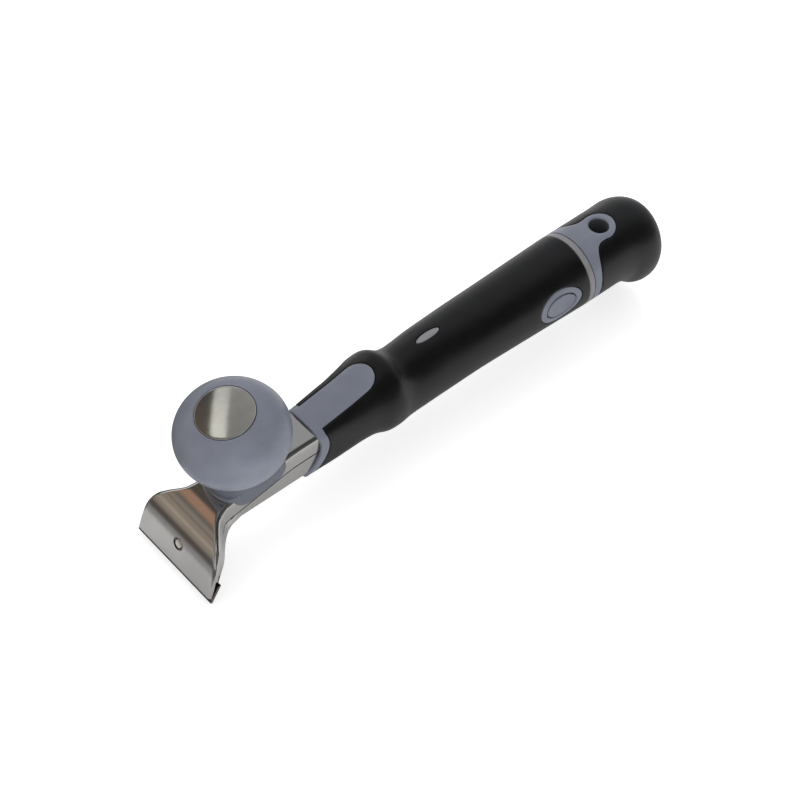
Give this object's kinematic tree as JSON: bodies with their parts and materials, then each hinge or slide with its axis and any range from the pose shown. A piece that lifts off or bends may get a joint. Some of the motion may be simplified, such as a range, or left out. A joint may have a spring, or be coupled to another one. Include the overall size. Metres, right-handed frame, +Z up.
{
  "type": "paint scraper",
  "caption": "Hand paint scraper with a down-turned steel head, a clamped drag blade, a ball knob over the head and a soft-grip handle with a hang hole.",
  "frame": {"origin": "centre of the bounding box's footprint, at the height of the blade's cutting edge", "axes": "+X along the handle towards the blade, +Z up through the knob, +Y to the side with the release button"},
  "size_m": [0.2806, 0.05, 0.0855],
  "materials": {
    "head_steel": "polished stainless sheet",
    "blade_metal": "dark ground hard metal",
    "cap_steel": "brushed",
    "plain_steel": "turned",
    "grey_plastic": "fine matte",
    "black_grip": "satin soft grip"
  },
  "bodies": {
    "handle": {"upper_shell": "head_steel", "stop_pin": "plain_steel", "knob_foot": "grey_plastic", "jaw_pivot_pin": "plain_steel", "tang_pin": "plain_steel", "handle_core": "grey_plastic", "handle_grip": "black_grip", "button_bezel": "grey_plastic", "latch_spring": "plain_steel"},
    "knob": {"knob_ball": "grey_plastic", "knob_cap": "cap_steel", "knob_stud": "plain_steel", "thrust_washer": "plain_steel"},
    "lower_jaw": {"lower_shell": "head_steel", "clamp_nut": "plain_steel"},
    "blade": {"blade": "blade_metal"},
    "button": {"release_button": "grey_plastic", "latch_plate": "plain_steel"},
    "end_cap": {"cap_core": "grey_plastic", "cap_grip": "black_grip"}
  },
  "joints": [
    {"name": "knob_turn", "type": "hinge", "parent": "handle", "child": "knob", "pos_m": [0.10179, 0, 0.03872], "axis": [0.2181, 0, 0.9759], "range_deg": [0, 360]},
    {"name": "jaw_open", "type": "hinge", "parent": "handle", "child": "lower_jaw", "pos_m": [0.06017, 0, 0.02895], "axis": [0, 1, 0], "range_deg": [0, 1.5]},
    {"name": "blade_slide", "type": "slide", "parent": "handle", "child": "blade", "axis": [0, 1, 0], "range_m": [0, 0.052]},
    {"name": "button_press", "type": "slide", "parent": "handle", "child": "button", "axis": [0, -0.9781, -0.2079], "range_m": [0, 0.002], "stiffness_N_per_m": 1500, "springref_m": -0.001, "deforming": ["latch_spring"]},
    {"name": "cap_pull", "type": "slide", "parent": "handle", "child": "end_cap", "axis": [-1, 0, 0], "range_m": [0, 0.042]}
  ],
  "couplings": [
    {"joint": "jaw_open", "follows": "knob_turn", "ratio": 0.00413}
  ]
}
